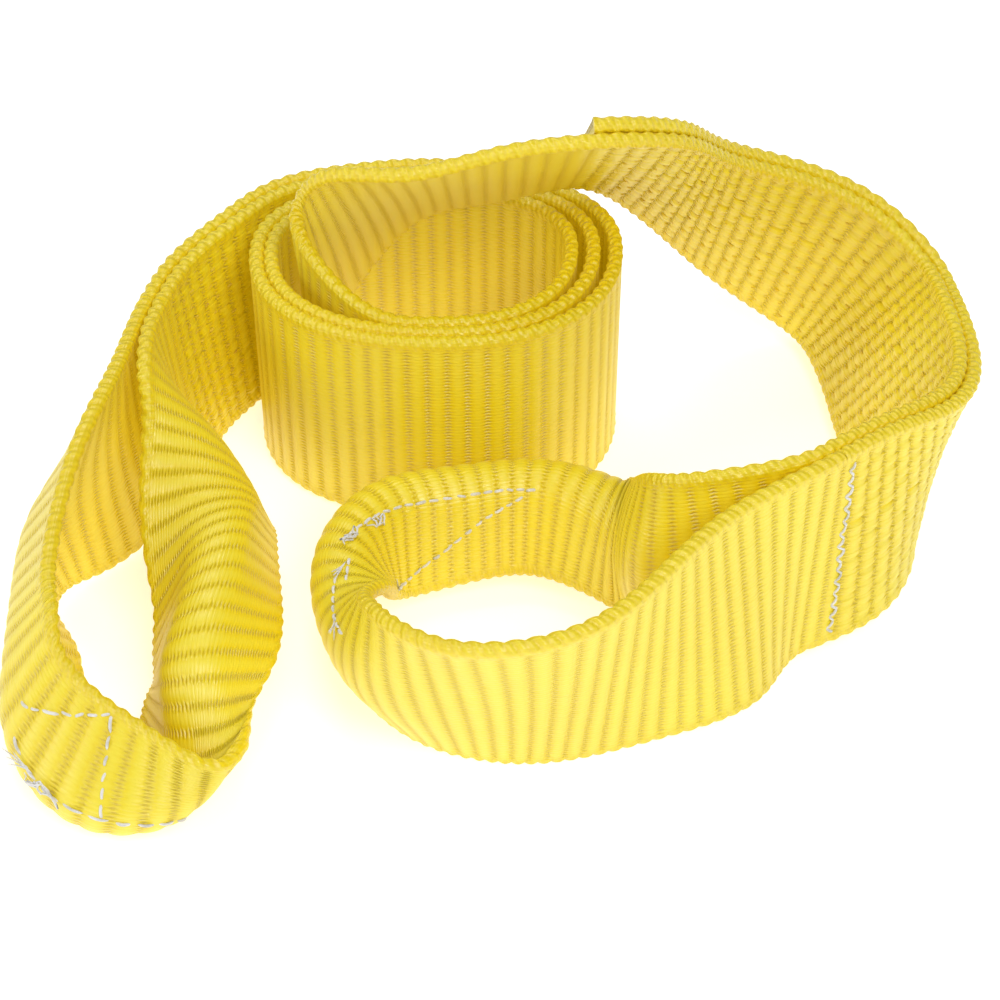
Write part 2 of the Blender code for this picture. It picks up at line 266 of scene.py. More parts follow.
RIGHT_EYE = [
    ((57, -56, 40), (50, -50, 76), (63, -62, 4)),
    ((38, -57, 37), (42, -43, 71), (51, -50, 4)),
    ((31, -38, 37), (38, -24, 50), (38, -33, 3)),
    ((26, -17, 38), (30, -2, 18), (20, -24, 4)),
    ((10, -6, 37), (14, 6, 4), (7, -19, 4)),
    ((-18, -9, 38), (-24, 2, 4), (-17, -21, 4)),
    ((-43, -19, 40), (-55, -13, 6), (-41, -32, 6)),
    ((-56, -41, 41), (-59, -36, 6), (-42, -49, 23)),
    ((-57, -69, 37), (-48, -61, 4), (-41, -70, 45)),
    ((-45, -95, 36), (-32, -82, 4), (-40, -92, 66)),
    ((-17, -105, 37), (-13, -94, 3), (-22, -115, 72)),
    ((13, -103, 38), (11, -95, 3), (14, -112, 74)),
    ((41, -87, 39), (42, -86, 3), (40, -88, 76)),
    ((67, -67, 40), (71, -71, 3), (63, -63, 77)),
]
LEFT_EYE = [
    ((-111, 20, 39), (-118, 16, 76), (-106, 21, 3)),
    ((-102, 10, 42), (-119, 0, 73), (-97, 14, 6)),
    ((-94, -6, 44), (-119, -9, 60), (-89, 0, 9)),
    ((-91, -25, 44), (-117, -32, 36), (-85, -11, 11)),
    ((-92, -42, 43), (-110, -48, 14), (-82, -27, 10)),
    ((-94, -59, 41), (-108, -58, 7), (-79, -43, 11)),
    ((-97, -75, 38), (-106, -65, 5), (-77, -57, 12)),
    ((-98, -87, 33), (-106, -69, 5), (-78, -71, 15)),
    ((-96, -98, 24), (-108, -73, 6), (-83, -84, 16)),
    ((-94, -109, 15), (-110, -77, 7), (-83, -98, 19)),
    ((-96, -119, 10), (-113, -82, 8), (-90, -111, 24)),
    ((-105, -125, 9), (-116, -87, 8), (-102, -108, 28)),
    ((-120, -126, 9), (-119, -90, 8), (-111, -102, 32)),
    ((-135, -118, 9), (-122, -90, 8), (-119, -96, 36)),
    ((-145, -107, 12), (-125, -87, 8), (-125, -91, 41)),
    ((-150, -96, 17), (-127, -82, 8), (-128, -88, 48)),
    ((-151, -84, 24), (-129, -75, 7), (-129, -84, 55)),
    ((-151, -68, 31), (-134, -55, 5), (-131, -78, 62)),
    ((-152, -47, 35), (-145, -36, 3), (-132, -57, 66)),
    ((-149, -28, 37), (-143, -23, 3), (-130, -34, 69)),
    ((-137, -12, 38), (-133, -14, 2), (-127, -14, 73)),
    ((-126, 5, 38), (-120, 4, 2), (-124, 3, 75)),
]

# Tip stitching: rows of places, each in millimetres along the eye's route and a cut across the band, which
# is -1 at the edge that starts as the upper one and 1 at the other. A tangle also has a number of loops
LEFT_TIP_ROWS = [
    [(236, 0.44), (230, 0.56), (225, 0.68), (219, 0.80), (213, 0.92)],
    [(213, 0.92), (211, 0.64), (208, 0.14)],
    [(189, 0.10), (197, 0.12), (206, 0.14), (222, 0.16), (233, 0.26)],
]
LEFT_TANGLES = [(221, 0.17, 3)]
LEFT_LOOSE_ENDS = [(224, 0.2)]
RIGHT_TIP_ROWS = [
    [(225, 0.14), (208, 0.16), (188, 0.18), (167, 0.18), (145, 0.20)],
    [(238, 0.26), (246, 0.26), (259, 0.32), (272, 0.42)],
    [(150, 0.24), (167, 0.40), (183, 0.64), (200, 0.82), (214, 0.94)],
    [(233, 0.30), (246, 0.46)],
]
RIGHT_TANGLES = [(225, 0.16, 3), (212, 0.2, 2)]
RIGHT_LOOSE_ENDS = [(212, 0.92), (236, 0.30), (262, 0.34)]

# The columns of a station's row that hold each line, and the cuts at which the lines lie
MIDDLE = slice(0, 3)
UPPER = slice(3, 6)
LOWER = slice(6, 9)
LINE_CUTS = (-1, 0, 1)


# ---------------------------------------------------------------- the webbing's path
def stations_in_metres(rows):
    """One row of nine numbers for each station."""
    return (np.array(rows, dtype=float) + CENTRING).reshape(len(rows), 9) * MM


def roll_stations():
    """Stations of the rolled turns: a flattened spiral, clockwise from the middle of the back."""
    stations = []
    for turns in np.arange(ROLL_START_TURNS, ROLL_END_TURNS, 1 / ROLL_STATIONS):
        angle = 2 * math.pi * turns
        across = math.sin(angle)
        along = math.cos(angle)
        side = "right" if across > 0 else "left"
        end = "back" if along > 0 else "front"
        half_x = ROLL_HALF[side] - ROLL_PITCH[side] * turns
        half_y = ROLL_HALF[end] - ROLL_PITCH[end] * turns
        x = ROLL_CENTRE[0] + half_x * math.copysign(abs(across) ** (2 / ROLL_POWER), across)
        y = ROLL_CENTRE[1] + half_y * math.copysign(abs(along) ** (2 / ROLL_POWER), along)
        half = WIDTH / 2 / MM
        stations.append(((x, y, half), (x, y, 2 * half), (x, y, 0)))
    return stations


def natural_spline(knots, values, at):
    """Evaluate the natural cubic spline through values at the given knots."""
    count = len(knots)
    gap = np.diff(knots)
    slope = np.diff(values, axis=0) / gap[:, None]
    system = np.eye(count)
    right = np.zeros_like(values)
    for i in range(1, count - 1):
        system[i, i - 1:i + 2] = gap[i - 1], 2 * (gap[i - 1] + gap[i]), gap[i]
        right[i] = 6 * (slope[i] - slope[i - 1])
    bend = np.linalg.solve(system, right)
    span = np.clip(np.searchsorted(knots, at, side="right") - 1, 0, count - 2)
    width = gap[span][:, None]
    ahead = (at - knots[span])[:, None]
    back = width - ahead
    curve = (bend[span] * back ** 3 + bend[span + 1] * ahead ** 3) / (6 * width)
    curve += (values[span] / width - bend[span] * width / 6) * back
    curve += (values[span + 1] / width - bend[span + 1] * width / 6) * ahead
    return curve


class Route:
    """A run of the band through its stations, measured by the mean travel of its three lines."""

    def __init__(self, stations):
        self.stations = stations
        travel = np.linalg.norm(np.diff(stations, axis=0), axis=1) / math.sqrt(3)
        self.knots = np.concatenate([[0.0], np.cumsum(travel)])

    def at(self, distances):
        """The station at each distance."""
        return natural_spline(self.knots, self.stations, np.asarray(distances, dtype=float))


def unit(vectors):
    """The vectors at length 1."""
    length = np.linalg.norm(vectors, axis=-1, keepdims=True)
    return vectors / np.maximum(length, 1e-9)


def band_surface(lines, cuts):
    """Points on the band's middle surface: one row for each station, one column for each cut.

    The band is straight from each edge to near the middle, and bends there through a round fold that
    is tight when the band is folded shut and wide when it is nearly flat.
    """
    middle = lines[:, MIDDLE]
    to_upper = lines[:, UPPER] - middle
    to_lower = lines[:, LOWER] - middle
    upper_length = np.linalg.norm(to_upper, axis=1)
    lower_length = np.linalg.norm(to_lower, axis=1)
    upper = unit(to_upper)
    lower = unit(to_lower)
    across = unit(upper - lower)
    inward = unit(upper + lower)
    turn = np.arccos(np.clip((upper * across).sum(axis=1), -1, 1))
    closed = turn / (math.pi / 2)
    bend = OPEN_BEND + (CLOSED_BEND - OPEN_BEND) * closed
    bend = np.minimum(bend, LONGEST_BEND * np.minimum(upper_length, lower_length))
    rate = np.maximum(turn / bend, LEAST_RATE)
    columns = []
    for cut in cuts:
        length = abs(cut) * (upper_length if cut < 0 else lower_length)
        curved = np.minimum(length, bend)
        straight = length - curved
        sideways = np.sin(rate * curved) / rate + np.cos(turn) * straight
        rise = (1 - np.cos(rate * curved)) / rate + np.sin(turn) * straight
        sign = 1 if cut < 0 else -1
        columns.append(middle + across * (sign * sideways)[:, None] + inward * rise[:, None])
    return np.stack(columns, axis=1)


def surface_at(route, distances, cuts):
    """Points on the band's middle surface and the directions square to it."""
    points = band_surface(route.at(distances), cuts)
    ahead = band_surface(route.at(distances + PROBE), cuts)
    behind = band_surface(route.at(distances - PROBE), cuts)
    across = np.gradient(points, axis=1)
    return points, unit(np.cross(ahead - behind, across))


def eye_route(band, throat, inward, rows):
    """The eye's route: out along the band's end, round the eye and back onto the band's outside.

    The throat is its third station and its third from last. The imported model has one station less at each
    throat, and moves all three lines the same way from ply to ply. Here each line moves its own way, so
    that the eye's band meets the arm's plies without a step.
    """
    ends = throat + inward * np.array([0, JOIN, LEAD])
    sheet = band.at(ends)
    normals = surface_at(band, ends, LINE_CUTS)[1]
    back = []
    for line, (upper_normal, middle_normal, lower_normal) in zip(sheet, normals):
        middle = line[MIDDLE] + middle_normal * PLY_PITCH
        upper = line[UPPER] + upper_normal * PLY_PITCH
        lower = line[LOWER] + lower_normal * PLY_PITCH
        back.append(np.concatenate([middle, lower, upper]))
    return Route(np.vstack([sheet[::-1], stations_in_metres(rows), back]))


# ---------------------------------------------------------------- webbing
def smooth_step(values, low, high):
    """0 up to low and 1 from high on, with a smooth rise between."""
    share = np.clip((values - low) / (high - low), 0, 1)
    return share * share * (3 - 2 * share)


def rib_height(distance, half_rib):
    """0 in the grooves between ribs and 1 on their crests."""
    return np.abs(np.sin(math.pi * (distance / RIB + half_rib))) ** RIB_POWER


def quilt_height(distance, across, half_rib):
    """Pillows between the sewing rows: 0 where the sewing pulls the webbing in."""
    rib = np.floor(distance / RIB + half_rib)
    return np.abs(np.sin(math.pi * (across / CELL + 0.5 * (rib % 2)))) ** QUILT_POWER


def face_height(distance, across, half_rib, quilt):
    """How far one face stands off the middle surface."""
    rib_fall = RIB_DEPTH * (1 - rib_height(distance, half_rib))
    quilt_fall = quilt * QUILT_DEPTH * (1 - quilt_height(distance, across, half_rib))
    return THICKNESS / 2 - rib_fall - quilt_fall


def rope_radius(distance, angle):
    """The selvedge is a twisted rope, with rounded strands and narrow grooves between them."""
    strands = np.abs(np.sin(math.pi * distance / ROPE_PITCH + angle))
    return ROPE_RADIUS + ROPE_BUMP * (2 * strands - 1)


def quilt_share(along, stretches):
    """1 on the stretches that are quilted and 0 elsewhere."""
    share = np.zeros_like(along)
    for low, high in stretches:
        rise = smooth_step(along, low, low + QUILT_FADE)
        fall = smooth_step(along, high - QUILT_FADE, high)
        share += rise * (1 - fall)
    return share


def webbing_mesh(name, route, start, end, offset=0.0, shift=0.0, quilts=((), ())):
    """One stretch of webbing, closed at both ends.

    offset is how far it lies outside the route. shift is added to distances along the route to place the
    ribs. quilts holds, for the outer and the inner face, the stretches that are quilted.
    """
    rows = int(round((end - start) / ALONG_STEP)) + 1
    distances = np.linspace(start, end, rows)
    inset = (ROPE_RADIUS + ROPE_BUMP) / (WIDTH / 2)
    cuts = np.linspace(-1 + inset, 1 - inset, FACE_COLUMNS)
    points, normals = surface_at(route, distances, cuts)
    points = points + normals * offset
    along = distances[:, None]
    weave = distances + shift
    across = (cuts[None, :] + 1) * WIDTH / 2
    rope_side = smooth_step(np.abs(cuts), ROPE_FROM, 1 - inset)[None, :]
    faces = []
    for side, stretches in zip((1, -1), quilts):
        half_rib = 0.0 if side > 0 else FAR_FACE_SHIFT
        height = face_height(weave[:, None], across, half_rib, quilt_share(along, stretches))
        height = height + (ROPE_RADIUS - height) * rope_side
        faces.append(points + normals * (side * height)[:, :, None])
    lower_edge = selvedge(points[:, -1], points[:, -2], normals[:, -1], 1, weave)
    upper_edge = selvedge(points[:, 0], points[:, 1], normals[:, 0], -1, weave)
    ring = np.concatenate([faces[0], lower_edge, faces[1][:, ::-1], upper_edge], axis=1)
    return ring_mesh(name, ring, weave, cuts)


def selvedge(centre, inner, normal, direction, weave):
    """The rope along one edge.

    It runs from the outer face round to the inner one where direction is 1, and back where it is -1.
    """
    outward = unit(centre - inner)
    strip = []
    for angle in np.linspace(0, math.pi, EDGE_COLUMNS + 2)[1:-1]:
        radius = rope_radius(weave, angle if direction > 0 else -angle)[:, None]
        rise = math.cos(angle) * direction
        strip.append(centre + outward * radius * math.sin(angle) + normal * radius * rise)
    return np.stack(strip, axis=1)


def girth_values(cuts):
    """The distance around the webbing and the share of selvedge at each column of a ring."""
    face = (cuts - cuts[0]) * WIDTH / 2
    arc = np.linspace(0, math.pi * ROPE_RADIUS, EDGE_COLUMNS + 2)
    rope = smooth_step(np.abs(cuts), ROPE_FROM, ROPE_FULL)
    around = [face, face[-1] + arc[1:-1]]
    start = face[-1] + arc[-1]
    around += [start + face, start + face[-1] + arc[1:-1]]
    full = start + face[-1] + arc[-1]
    mask = np.concatenate([rope, np.ones(EDGE_COLUMNS), rope, np.ones(EDGE_COLUMNS), rope[:1]])
    return np.concatenate(around + [[full]]), mask


def ring_mesh(name, ring, distances, cuts):
    """A closed mesh through rings of points, with the weave attribute at every corner of its faces."""
    rows, columns = ring.shape[:2]
    index = np.arange(rows * columns).reshape(rows, columns)
    ahead = np.roll(index, -1, axis=1)
    quads = np.stack([index[:-1], index[1:], ahead[1:], ahead[:-1]], axis=-1).reshape(-1, 4)
    faces = quads.tolist()
    faces.append(index[0].tolist())
    faces.append(index[-1][::-1].tolist())
    mesh = bpy.data.meshes.new(name)
    mesh.from_pydata(ring.reshape(-1, 3).tolist(), [], faces)
    around, rope = girth_values(cuts)
    weave = np.zeros((rows - 1, columns, 4, 3))
    for corner, (row, column) in enumerate(((0, 0), (1, 0), (1, 1), (0, 1))):
        weave[:, :, corner, 0] = distances[row:rows - 1 + row, None]
        weave[:, :, corner, 1] = around[None, column:columns + column]
        weave[:, :, corner, 2] = rope[None, column:columns + column]
    ends = np.zeros((2 * columns, 3))
    ends[:, 1] = np.tile(around[:columns], 2)
    values = np.concatenate([weave.reshape(-1, 3), ends]).astype(np.float32)
    mesh.attributes.new("weave", "FLOAT_VECTOR", "CORNER").data.foreach_set("vector", values.ravel())
    mesh.shade_smooth()
    mesh.set_sharp_from_angle(angle=math.radians(SHARP_ANGLE))
    return add_object(name, mesh)


def add_object(name, data):
    """An object in the scene that holds a mesh, a light or a camera."""
    obj = bpy.data.objects.new(name, data)
    bpy.context.scene.collection.objects.link(obj)
    return obj


# ---------------------------------------------------------------- threads
class Tubes:
    """Thin tubes gathered into one mesh."""

    def __init__(self):
        self.vertices = []
        self.faces = []

    def add(self, line, radius):
        """A tube with rounded ends along the points of a line."""
        line = np.array(line, dtype=float)
        tangents = unit(np.gradient(line, axis=0))
        side = unit(np.cross(tangents[0], TUBE_SIDEWAYS))
        least, power = TUBE_END
        count = len(line)
        first = len(self.vertices)
        for i, (point, tangent) in enumerate(zip(line, tangents)):
            side = unit(side - tangent * (side @ tangent))
            other = np.cross(tangent, side)
            taper = math.sqrt(max(least, 1 - abs(2 * i / (count - 1) - 1) ** power))
            for k in range(TUBE_SIDES):
                angle = 2 * math.pi * k / TUBE_SIDES
                spoke = side * math.cos(angle) + other * math.sin(angle)
                self.vertices.append(tuple(point + spoke * radius * taper))
        for i in range(count - 1):
            here = first + i * TUBE_SIDES
            after = here + TUBE_SIDES
            for k in range(TUBE_SIDES):
                following = (k + 1) % TUBE_SIDES
                self.faces.append((here + k, here + following, after + following, after + k))
        last = first + (count - 1) * TUBE_SIDES
        self.faces.append(tuple(first + k for k in reversed(range(TUBE_SIDES))))
        self.faces.append(tuple(last + k for k in range(TUBE_SIDES)))

    def finish(self, name):
        """The object that holds all the tubes."""
        mesh = bpy.data.meshes.new(name)
        mesh.from_pydata(self.vertices, [], self.faces)
        mesh.shade_smooth()
        return add_object(name, mesh)


def over_face(route, places, heights):
    """Points at the given heights over the band's middle surface, at places of distance and cut."""
    points = []
    for (distance, cut), height in zip(places, heights):
        near, normals = surface_at(route, np.array([distance]), (cut - CUT_PROBE, cut, cut + CUT_PROBE))
        points.append(near[0, 1] + normals[0, 1] * height)
    return points


def add_stitch(tubes, route, start, end, face, base, radius):
    """One stitch between two places: it rises out of the webbing and dives back into it.

    face is 1 on the route's outside and -1 on its inside. base is how far that face of the webbing stands
    off the route's middle surface.
    """
    shares = np.linspace(0, 1, STITCH_POINTS)
    places = [(start[0] + (end[0] - start[0]) * t, start[1] + (end[1] - start[1]) * t) for t in shares]
    arch = radius * (STITCH_RISE * np.sin(math.pi * shares) - STITCH_SINK)
    tubes.add(over_face(route, places, face * (base + arch)), radius)


def add_row(tubes, route, row, face, rng):
    """Stitches at an even pitch along a row of places."""
    for (distance, cut), (next_distance, next_cut) in zip(row, row[1:]):
        run = next_distance - distance
        climb = next_cut - cut
        count = max(1, round(math.hypot(run, climb * WIDTH / 2) / TIP_PITCH))
        for i in range(count):
            lean = rng.uniform(-TIP_LEAN, TIP_LEAN)
            cut_lean = lean * TIP_LEAN_CUTS
            low = (i + 0.5 - TIP_LENGTH / TIP_PITCH / 2) / count
            high = (i + 0.5 + TIP_LENGTH / TIP_PITCH / 2) / count
            start = (distance + run * low - lean, cut + climb * low - cut_lean)
            end = (distance + run * high + lean, cut + climb * high + cut_lean)
            radius = THREAD_RADIUS * rng.uniform(*TIP_THICKNESS)
            add_stitch(tubes, route, start, end, face, THICKNESS / 2, radius)


def add_tangle(tubes, route, place, face, loops, rng):
    """Loose thread left at the end of a row: a few small untidy loops."""
    count = TANGLE_POINTS * loops
    steps = np.linspace(0, 1, count)
    turn = 2 * math.pi * loops * steps
    swell = rng.uniform(*TANGLE_SWELL, count)
    distance = place[0] + TANGLE_REACH * swell * np.cos(turn) + TANGLE_RUN * (steps - 0.5)
    cut = place[1] + TANGLE_SPREAD * swell * np.sin(TANGLE_BEAT * turn + rng.uniform(*TANGLE_PHASE))
    lift = TANGLE_LIFT * rng.uniform(0, 1, count)
    heights = face * (THICKNESS / 2 + TANGLE_CLEARANCE + lift)
    tubes.add(over_face(route, list(zip(distance, cut)), heights), THREAD_RADIUS * FINE_THREAD)


def add_loose_end(tubes, route, place, face, rng):
    """A frayed end of thread: fine strands that leave a stitch and lift off the webbing."""
    shares = np.linspace(0, 1, FRAY_POINTS)
    for _ in range(FRAY_STRANDS):
        reach = rng.uniform(*FRAY_REACH)
        lean = rng.uniform(-FRAY_LEAN, FRAY_LEAN)
        places = [(place[0] + reach * share, place[1] + lean * share ** 2) for share in shares]
        heights = face * (THICKNESS / 2 + FRAY_CLEARANCE + rng.uniform(*FRAY_LIFT) * shares ** 2)
        tubes.add(over_face(route, places, heights), THREAD_RADIUS * FRAYED_THREAD)


# ---------------------------------------------------------------- materials
class Nodes:
    """Short calls for building a shader's node tree."""

    def __init__(self, name):
        self.material = bpy.data.materials.new(name)
        self.material.use_nodes = True
        self.tree = self.material.node_tree
        self.shader = self.tree.nodes["Principled BSDF"]

    def link(self, source, target):
        """Feed a socket from another socket, or set it to a number."""
        if isinstance(source, (int, float)):
            target.default_value = source
        else:
            self.tree.links.new(source, target)

    def math(self, operation, first, second=0.0, third=0.0):
        """One math node."""
        node = self.tree.nodes.new("ShaderNodeMath")
        node.operation = operation
        for value, socket in zip((first, second, third), node.inputs):
            self.link(value, socket)
        return node.outputs[0]

    def between(self, value, low, high, start=0.0, end=1.0):
        """start up to low and end from high on, with a smooth change between."""
        node = self.tree.nodes.new("ShaderNodeMapRange")
        node.interpolation_type = "SMOOTHSTEP"
        for number, socket in zip((value, low, high, start, end), node.inputs):
            self.link(number, socket)
        return node.outputs[0]

    def noise(self, vector, scale, detail=3.0):
        """Smooth noise from 0 to 1."""
        node = self.tree.nodes.new("ShaderNodeTexNoise")
        self.link(vector, node.inputs["Vector"])
        node.inputs["Scale"].default_value = scale
        node.inputs["Detail"].default_value = detail
        node.inputs["Roughness"].default_value = NOISE_ROUGHNESS
        return node.outputs["Fac"]

    def vector(self, x, y, z):
        """A vector of three values."""
        node = self.tree.nodes.new("ShaderNodeCombineXYZ")
        for value, socket in zip((x, y, z), node.inputs):
            self.link(value, socket)
        return node.outputs[0]

    def mix(self, share, first, second):
        """The first colour where share is 0 and the second where it is 1."""
        node = self.tree.nodes.new("ShaderNodeMix")
        node.data_type = "RGBA"
        self.link(share, node.inputs["Factor"])
        for colour, socket in ((first, node.inputs["A"]), (second, node.inputs["B"])):
            if isinstance(colour, tuple):
                socket.default_value = (*colour, 1)
            else:
                self.tree.links.new(colour, socket)
        return node.outputs["Result"]

    def bump(self, height, distance):
        """Shade the surface as if height, in units of distance, stood out of it."""
        node = self.tree.nodes.new("ShaderNodeBump")
        node.inputs["Strength"].default_value = 1.0
        node.inputs["Distance"].default_value = distance
        self.link(height, node.inputs["Height"])
        self.link(node.outputs["Normal"], self.shader.inputs["Normal"])


def weave_features(n):
    """The weave's features at a point, each 0 where it is absent and 1 where it is full."""
    attribute = n.tree.nodes.new("ShaderNodeAttribute")
    attribute.attribute_name = "weave"
    parts = n.tree.nodes.new("ShaderNodeSeparateXYZ")
    n.link(attribute.outputs["Vector"], parts.inputs[0])
    along, around, rope = parts.outputs
    face = n.math("SUBTRACT", 1.0, rope)
    thread = n.math("DIVIDE", around, WARP)
    warp = n.math("ABSOLUTE", n.math("SINE", n.math("MULTIPLY", thread, math.pi)))

    # The grooves cross the webbing in a zigzag, with one tooth for each pair of warp threads
    tooth = n.math("PINGPONG", thread, 1.0)
    ribs = n.math("MULTIPLY_ADD", tooth, TOOTH, n.math("DIVIDE", along, RIB))
    far_face = n.math("GREATER_THAN", around, WIDTH)
    ribs = n.math("MULTIPLY_ADD", far_face, FAR_FACE_SHIFT, ribs)
    place = n.math("FRACT", n.math("ADD", ribs, GROOVE_PLACE))
    from_groove = n.math("ABSOLUTE", n.math("SUBTRACT", place, 0.5))
    # The grooves shape the bump, and they also carry painted shade: a darker tint
    groove = n.math("MULTIPLY", n.between(from_groove, *GROOVE_EDGE, 1.0, 0.0), face)
    near_groove = n.math("MULTIPLY", n.between(from_groove, *NEAR_GROOVE_EDGE, 1.0, 0.0), face)
    # Painted highlight: the ribs' crests get a pale tint
    crest_highlight = n.math("MULTIPLY", n.between(from_groove, *CREST_HIGHLIGHT_EDGE), face)
    # Painted shade: a darker tint in the gaps between warp threads near the grooves
    warp_gap_shade = n.math("MULTIPLY", n.between(warp, *WARP_GAP_SHADE_EDGE, 1.0, 0.0), near_groove)

    # The selvedge's strands wind round it
    wave = n.math("MULTIPLY", along, 2 * math.pi / ROPE_PITCH * STRANDS)
    wave = n.math("SINE", n.math("ADD", wave, n.math("MULTIPLY", around, STRAND_LEAN)))
    strand = n.math("MULTIPLY", n.math("MULTIPLY_ADD", wave, 0.5, 0.5), rope)
    # Painted shade: a darker tint in the gaps between the strands
    strand_gap_shade = n.math("MULTIPLY", n.between(strand, *STRAND_GAP_SHADE_EDGE, 1.0, 0.0), rope)

    fibre_place = [n.math("MULTIPLY", way, scale) for way, scale in zip((along, around), FIBRE_SCALE)]
    fibre = n.noise(n.vector(*fibre_place, rope), 1.0)
    patch_place = [n.math("MULTIPLY", way, scale) for way, scale in zip((along, around), PATCH_SCALE)]
    patches = n.noise(n.vector(*patch_place, PATCH_SLICE), 1.0)
    return {
        "warp": warp,
        "groove": groove,
        "near_groove": near_groove,
        "crest_highlight": crest_highlight,
        "warp_gap_shade": warp_gap_shade,
        "strand": strand,
        "strand_gap_shade": strand_gap_shade,
        "fibre": fibre,
        # painted highlight: paler fibres at random places
        "fibre_glint": n.between(fibre, *FIBRE_GLINT_EDGE),
        "patches": n.between(patches, *PATCH_EDGE),
    }


def webbing_material():
    """Woven polyester: warp threads along the band, toothed grooves between ribs, roped selvedges."""
    n = Nodes("woven_yellow_webbing")
    weave = weave_features(n)
    colour = n.mix(weave["patches"], *PATCH_COLOURS)
    # Painted highlights and painted shade, tinted into the webbing's colour
    for feature, (strength, tint) in PAINTED_LIGHT_TINTS.items():
        colour = n.mix(n.math("MULTIPLY", weave[feature], strength), colour, tint)
    n.link(colour, n.shader.inputs["Base Color"])
    n.link(n.between(weave["fibre"], *FIBRE_RANGE, *WEBBING_ROUGHNESS), n.shader.inputs["Roughness"])
    n.shader.inputs["Specular IOR Level"].default_value = 1.0
    n.shader.inputs["Sheen Weight"].default_value = SHEEN
    n.shader.inputs["Sheen Roughness"].default_value = SHEEN_ROUGHNESS
    n.shader.inputs["Sheen Tint"].default_value = SHEEN_COLOUR
    # Painted light: a faint yellow glow over the whole webbing, which brightens its shade
    n.shader.inputs["Emission Color"].default_value = PAINTED_GLOW_COLOUR
    n.shader.inputs["Emission Strength"].default_value = PAINTED_GLOW

    height = n.math("MULTIPLY", weave["warp"], n.math("MULTIPLY_ADD", weave["near_groove"], *WARP_RIDGE))
    for feature, share in HEIGHTS.items():
        height = n.math("MULTIPLY_ADD", weave[feature], share, height)
    n.bump(height, WEBBING_BUMP)
    return n.material


def thread_material(name, clean, soiled):
    """Twisted sewing thread with slight soiling."""
    n = Nodes(name)
    place = n.tree.nodes.new("ShaderNodeNewGeometry").outputs["Position"]
    soiling = n.noise(place, THREAD_SOILING)
    fibre = n.noise(place, THREAD_TWIST, 2.0)
    n.link(n.mix(n.between(soiling, *SOILING_EDGE), clean, soiled), n.shader.inputs["Base Color"])
    n.link(n.between(fibre, *FIBRE_RANGE, *THREAD_ROUGHNESS), n.shader.inputs["Roughness"])
    n.shader.inputs["Sheen Weight"].default_value = THREAD_SHEEN
    n.bump(fibre, THREAD_BUMP)
    return n.material


def floor_material():
    """A floor that glows, so that it stays white under the sling."""
    n = Nodes("studio_floor")
    place = n.tree.nodes.new("ShaderNodeNewGeometry").outputs["Position"]
    n.link(n.mix(n.noise(place, FLOOR_GREY_SCALE), *FLOOR_GREYS), n.shader.inputs["Base Color"])
    n.shader.inputs["Roughness"].default_value = FLOOR_ROUGHNESS
    n.shader.inputs["Emission Color"].default_value = (1, 1, 1, 1)
    n.shader.inputs["Emission Strength"].default_value = FLOOR_GLOW
    return n.material


# ---------------------------------------------------------------- the sling
def put(obj, material, slot, body, *nodes):
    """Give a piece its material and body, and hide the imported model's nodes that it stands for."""
    obj.data.materials.append(material)
    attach(obj, body)
    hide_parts(*nodes)


def make_main_band(band, webbing):
    """The band from throat to throat, quilted on its inner face where a lap is sewn to its outer one."""
    length = band.knots[-1]
    quilted = ((JOIN, LEFT_LAP), (length - RIGHT_LAP, length))
    main = webbing_mesh("sling_webbing", band, JOIN, length - JOIN, quilts=((), quilted))
    put(main, webbing, "yellow_webbing", "root", "left_arm_webbing", "rolled_webbing", "right_arm_webbing")


def make_eye(side, route, shift, webbing):
    """The band round one eye, from the inner ply at its throat round to the outer one.

    Both plies bend at the throat, where the band goes over from the arm to the eye.
    """
    start = route.knots[2] - JOIN - BUTT
    end = route.knots[-3] + JOIN + BUTT
    eye = webbing_mesh(side + "_eye_band", route, start, end, shift=shift)
    eye.data.materials.append(webbing)
    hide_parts(side + "_eye_webbing")
    arm_point, eye_point = route.at([route.knots[2] - JOIN, route.knots[2] + JOIN])[:, MIDDLE]
    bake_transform(eye)


def make_lap(side, band, start, end, shift, webbing):
    """The end of the webbing, sewn down on the outside of the arm."""
    lap = webbing_mesh(side + "_lap", band, start, end, PLY_PITCH, shift, quilts=(((start, end),), ()))
    put(lap, webbing, "yellow_webbing", "root", side + "_lap_end")


def make_throat_seam(side, band, distance, white):
    """A zigzag of white stitches across the lap, near the throat."""
    rng = np.random.default_rng(SEAM_SEEDS[side])
    tubes = Tubes()
    cuts = np.linspace(-SEAM_REACH, SEAM_REACH, SEAM_POINTS)
    swings = rng.uniform(*SEAM_SWING, len(cuts))
    swings[::2] *= -1
    places = list(zip(distance + swings, cuts))
    for start, end in zip(places, places[1:]):
        radius = THREAD_RADIUS * rng.uniform(*SEAM_THICKNESS)
        add_stitch(tubes, band, start, end, 1, PLY_PITCH + THICKNESS / 2, radius)
    put(tubes.finish(side + "_throat_stitches"), white, "white_thread", "root", side + "_throat_seam")


def make_lap_stitches(side, band, start, end, yellow):
    """Short yellow stitches that pull the quilting in, one in each groove of each row."""
    rng = np.random.default_rng(QUILT_SEED)
    tubes = Tubes()
    rows = int(WIDTH * QUILT_REACH / CELL)
    for row in range(rows):
        cut = -QUILT_REACH + 2 * QUILT_REACH * row / (rows - 1)
        for rib in range(int((end - start) / RIB)):
            distance = start + (rib + 0.5 * (row % 2)) * RIB
            next_cut = cut + rng.uniform(-QUILT_LEAN, QUILT_LEAN)
            places = ((distance, cut), (distance + QUILT_STITCH, next_cut))
            add_stitch(tubes, band, *places, -1, THICKNESS / 2 - QUILT_SINK, THREAD_RADIUS * FINE_THREAD)
    put(tubes.finish(side + "_quilting_stitches"), yellow, "yellow_thread", "root", side + "_lap_stitching")


